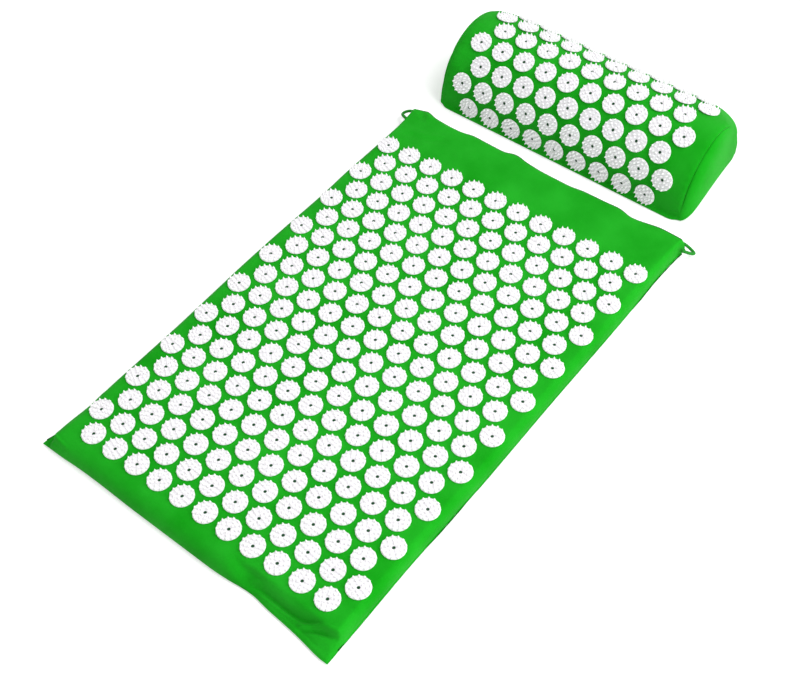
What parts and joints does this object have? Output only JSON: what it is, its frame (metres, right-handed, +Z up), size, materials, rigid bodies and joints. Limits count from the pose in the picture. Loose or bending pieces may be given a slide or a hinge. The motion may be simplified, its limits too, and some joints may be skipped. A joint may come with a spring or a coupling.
{
  "type": "acupressure mat",
  "caption": "Foam mat and half-round neck pillow in green cotton covers with white plastic spiked discs, zips for taking out the foam and cord loops at the head corners.",
  "frame": {"origin": "middle of the mat's flat underside, which lies on the floor", "axes": "+X to the mat's right seen from its foot, +Y from the mat's foot to its head and on to the pillow, +Z up"},
  "size_m": [0.4296, 0.8529, 0.0921],
  "materials": {
    "green_cotton": "plain woven cotton, matt",
    "white_plastic": "moulded, satin",
    "pale_foam": "open foam, matt",
    "dark_green_cord": "twisted cotton cord",
    "zip_tape": "woven tape",
    "zip_nylon": "dyed nylon",
    "zip_metal": "green enamel"
  },
  "bodies": {
    "mat": {"mat_top_cover": "green_cotton", "mat_bottom_cover": "green_cotton", "mat_foam_core": "pale_foam", "corner_loop_left": "dark_green_cord", "corner_loop_right": "dark_green_cord", "mat_zip_tape_upper": "zip_tape", "mat_zip_tape_lower": "zip_tape", "mat_zip_teeth_upper": "zip_nylon", "mat_zip_teeth_lower": "zip_nylon", "mat_zip_top_stop_upper": "zip_metal", "mat_zip_top_stop_lower": "zip_metal", "mat_zip_end_stop": "zip_metal"},
    "mat_zip_slider": {"mat_zip_slider": "zip_metal"},
    "mat_zip_pull": {"mat_zip_pull": "zip_metal"},
    "pillow": {"pillow_top_cover": "green_cotton", "pillow_base_panel": "green_cotton", "pillow_end_panel_left": "green_cotton", "pillow_end_panel_right": "green_cotton", "pillow_foam_core": "pale_foam", "pillow_zip_tape_upper": "zip_tape", "pillow_zip_tape_lower": "zip_tape", "pillow_zip_teeth_upper": "zip_nylon", "pillow_zip_teeth_lower": "zip_nylon", "pillow_zip_top_stop_upper": "zip_metal", "pillow_zip_top_stop_lower": "zip_metal", "pillow_zip_end_stop": "zip_metal"},
    "pillow_zip_slider": {"pillow_zip_slider": "zip_metal"},
    "pillow_zip_pull": {"pillow_zip_pull": "zip_metal"}
  },
  "joints": [
    {"name": "mat_zip_slide", "type": "slide", "parent": "mat", "child": "mat_zip_slider", "axis": [-1, 0, 0], "range_m": [0, 0.3137]},
    {"name": "mat_zip_pull_turn", "type": "hinge", "parent": "mat_zip_slider", "child": "mat_zip_pull", "pos_m": [0.15685, 0.33141, 0.0082], "axis": [0, 0, -1], "range_deg": [0, 180]},
    {"name": "pillow_lift", "type": "slide", "parent": "mat", "child": "pillow", "axis": [0, 0, 1], "range_m": [0, 0.3]},
    {"name": "pillow_zip_slide", "type": "slide", "parent": "pillow", "child": "pillow_zip_slider", "axis": [-1, 0, 0], "range_m": [0, 0.3137]},
    {"name": "pillow_zip_pull_turn", "type": "hinge", "parent": "pillow_zip_slider", "child": "pillow_zip_pull", "pos_m": [0.14515, 0.52142, 0.0082], "axis": [0, 0, -1], "range_deg": [0, 180]}
  ]
}
